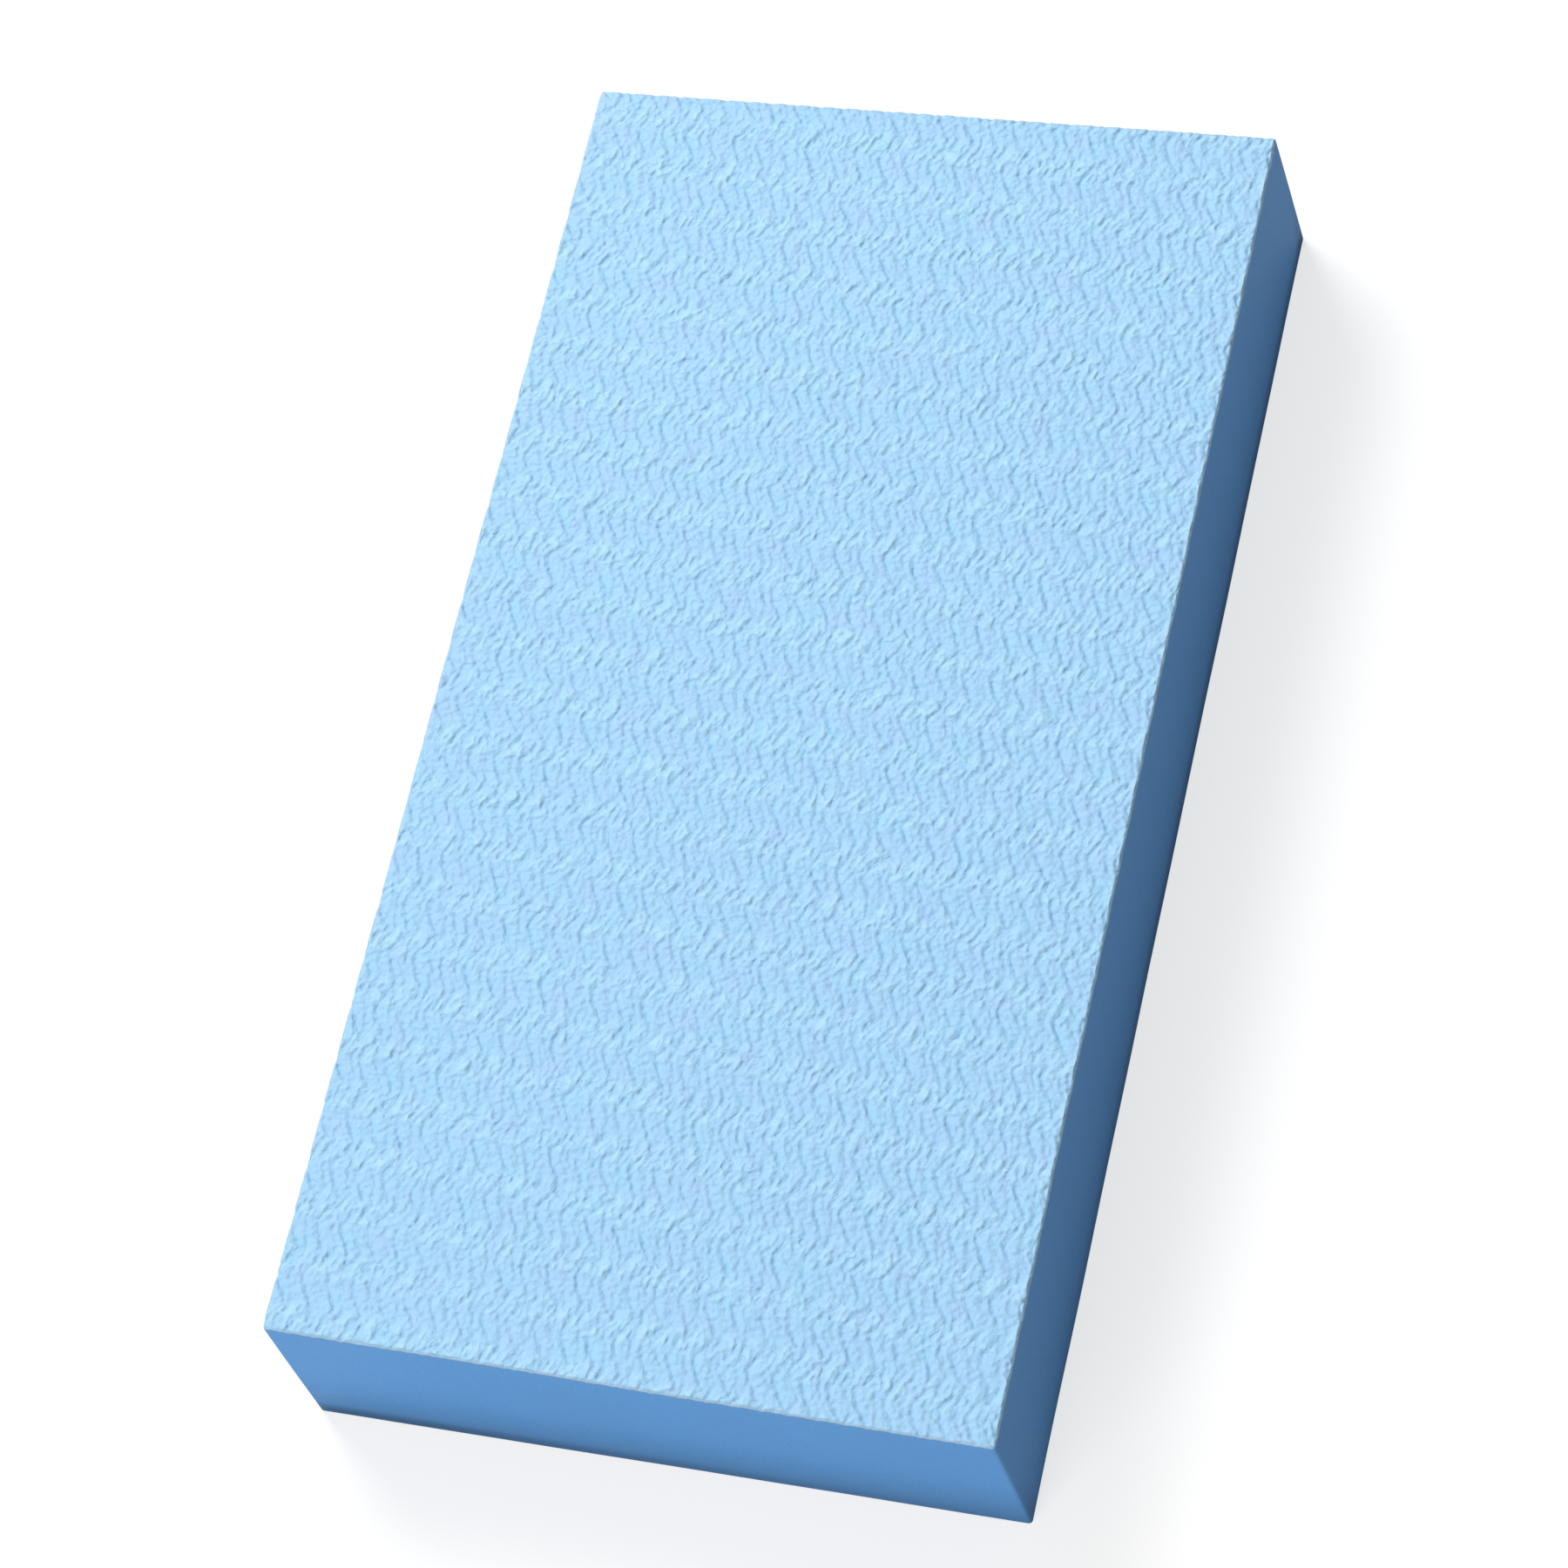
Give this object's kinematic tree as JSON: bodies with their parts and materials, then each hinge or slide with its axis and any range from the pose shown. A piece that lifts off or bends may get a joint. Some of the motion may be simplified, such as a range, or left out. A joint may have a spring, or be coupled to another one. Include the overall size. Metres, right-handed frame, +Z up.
{
  "type": "foam mat",
  "caption": "Rectangular block of closed-cell foam with square-cut sides and a herringbone of raised ribs over its whole upper face.",
  "frame": {"origin": "middle of the underside, on the surface the mat lies on", "axes": "+X across the mat's width, +Y along its length, +Z up through its thickness towards the ribbed face"},
  "size_m": [0.104, 0.2, 0.028],
  "materials": {
    "blue_foam": "matte closed-cell foam, embossed on top and cut on the sides"
  },
  "bodies": {
    "root": {"foam_block": "blue_foam"}
  },
  "joints": []
}
